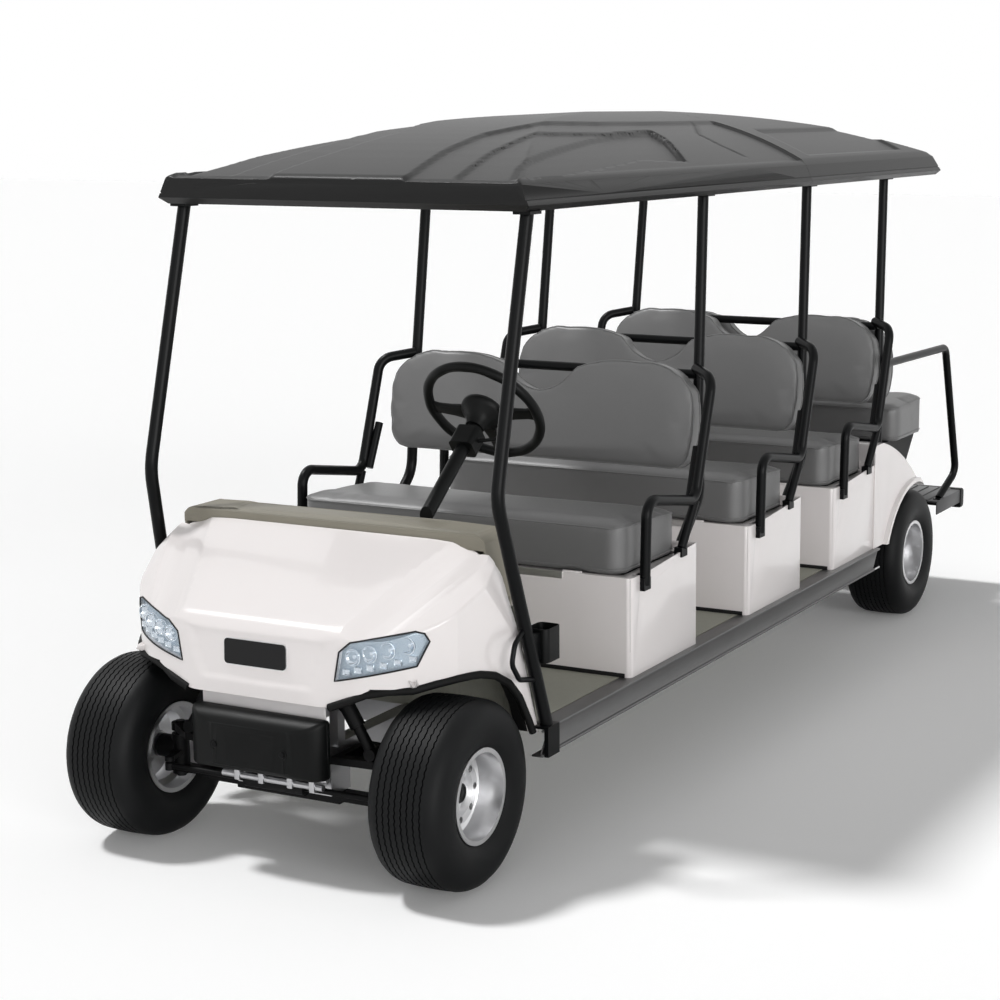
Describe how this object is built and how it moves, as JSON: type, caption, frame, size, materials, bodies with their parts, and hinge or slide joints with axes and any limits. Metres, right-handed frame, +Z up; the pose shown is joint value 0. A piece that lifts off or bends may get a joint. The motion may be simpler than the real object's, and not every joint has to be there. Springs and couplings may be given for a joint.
{
  "type": "golf cart",
  "caption": "Long open electric people carrier with forward bench rows, a rear-facing bench, tube frames and a two-piece roof.",
  "frame": {"origin": "on the floor, midway along and across the cart", "axes": "+X to the cart's left side, -Y to its front, +Z up"},
  "size_m": [1.256, 4.2799, 1.976],
  "materials": {
    "tyre": "matt black moulded rubber",
    "rim": "machined silver",
    "body_white": "glossy pearl white",
    "vinyl": "mid grey vinyl, soft sheen",
    "roof_plastic": "dark grey grained plastic",
    "black_tube": "black powder coat",
    "black_plastic": "black moulded plastic",
    "black_steel": "black chassis paint",
    "frame_metal": "plain aluminium",
    "floor_mat": "greenish taupe ribbed mat",
    "sill_metal": "grey with bright edges",
    "dash_plastic": "dark taupe grained plastic",
    "lamp_lens": "clear lens over chromed reflectors",
    "panel_grey": "light grey plastic",
    "battery_case": "black",
    "step_metal": "bright tread plate"
  },
  "bodies": {
    "cart": {"arch_liners": "black_plastic", "battery_pack": "battery_case", "chassis_frame": "frame_metal", "cup_holders": "black_plastic", "dashboard": "dash_plastic", "floor_pan": "floor_mat", "foot_pedals": "black_plastic", "front_bumper": "black_plastic", "front_control_arms": "black_steel", "front_cowl": "body_white", "front_leaf_spring": "black_steel", "front_shocks": "black_steel", "front_struts": "black_tube", "headlamps": "lamp_lens", "lower_front_panel": "panel_grey", "rear_axle": "black_steel", "rear_body": "body_white", "rear_bumper": "black_plastic", "rear_footrest": "step_metal", "rear_seat_frame": "black_steel", "rear_springs": "black_steel", "roof_front": "roof_plastic", "roof_rear": "roof_plastic", "seat_back_1": "vinyl", "seat_back_2": "vinyl", "seat_back_3": "vinyl", "seat_back_4": "vinyl", "seat_base_1": "body_white", "seat_base_2": "body_white", "seat_base_3": "body_white", "sills": "sill_metal", "steering_column": "black_plastic", "steering_rack": "black_steel", "support_frame_1": "black_tube", "support_frame_2": "black_tube", "support_frame_3": "black_tube"},
    "knuckle_left": {"knuckle_left": "black_steel"},
    "knuckle_right": {"knuckle_right": "black_steel"},
    "wheel_front_left": {"tyre_front_left": "tyre", "rim_front_left": "rim"},
    "wheel_front_right": {"tyre_front_right": "tyre", "rim_front_right": "rim"},
    "wheel_rear_left": {"tyre_rear_left": "tyre", "rim_rear_left": "rim"},
    "wheel_rear_right": {"tyre_rear_right": "tyre", "rim_rear_right": "rim"},
    "rack_bar": {"tie_rod": "black_steel"},
    "helm": {"steering_wheel": "black_plastic"},
    "bench_1": {"seat_cushion_1": "vinyl"},
    "bench_2": {"seat_cushion_2": "vinyl"},
    "bench_3": {"seat_cushion_3": "vinyl"},
    "bench_4": {"seat_cushion_4": "vinyl"}
  },
  "joints": [
    {"name": "steer_left", "type": "hinge", "parent": "cart", "child": "knuckle_left", "pos_m": [0.376, -1.89, 0.25], "axis": [0, 0, 1], "range_deg": [-28, 28]},
    {"name": "steer_right", "type": "hinge", "parent": "cart", "child": "knuckle_right", "pos_m": [-0.376, -1.89, 0.25], "axis": [0, 0, 1], "range_deg": [-28, 28]},
    {"name": "spin_front_left", "type": "hinge", "parent": "knuckle_left", "child": "wheel_front_left", "pos_m": [0.484, -1.89, 0.25], "axis": [1, 0, 0], "continuous": true},
    {"name": "spin_front_right", "type": "hinge", "parent": "knuckle_right", "child": "wheel_front_right", "pos_m": [-0.484, -1.89, 0.25], "axis": [1, 0, 0], "continuous": true},
    {"name": "spin_rear_left", "type": "hinge", "parent": "cart", "child": "wheel_rear_left", "pos_m": [0.488, 1.5, 0.25], "axis": [1, 0, 0], "continuous": true},
    {"name": "spin_rear_right", "type": "hinge", "parent": "cart", "child": "wheel_rear_right", "pos_m": [-0.488, 1.5, 0.25], "axis": [1, 0, 0], "continuous": true},
    {"name": "rack_slide", "type": "slide", "parent": "cart", "child": "rack_bar", "axis": [1, 0, 0], "range_m": [-0.0377, 0.0377]},
    {"name": "helm_turn", "type": "hinge", "parent": "cart", "child": "helm", "pos_m": [0.222, -1.23934, 1.14297], "axis": [0, 0.788, 0.6157], "range_deg": [-422, 422]},
    {"name": "seat_tilt_1", "type": "hinge", "parent": "cart", "child": "bench_1", "pos_m": [0, -1.043, 0.6533], "axis": [1, 0, 0], "range_deg": [0, 75]},
    {"name": "seat_tilt_2", "type": "hinge", "parent": "cart", "child": "bench_2", "pos_m": [0, -0.182, 0.6533], "axis": [1, 0, 0], "range_deg": [0, 75]},
    {"name": "seat_tilt_3", "type": "hinge", "parent": "cart", "child": "bench_3", "pos_m": [0, 0.588, 0.6533], "axis": [1, 0, 0], "range_deg": [0, 75]},
    {"name": "seat_tilt_4", "type": "hinge", "parent": "cart", "child": "bench_4", "pos_m": [0, 1.676, 0.7083], "axis": [-1, 0, 0], "range_deg": [0, 75]}
  ],
  "couplings": [
    {"joint": "steer_right", "follows": "steer_left", "ratio": 1},
    {"joint": "rack_slide", "follows": "steer_left", "m_per_rad": 0.0769},
    {"joint": "helm_turn", "follows": "steer_left", "ratio": 15}
  ]
}
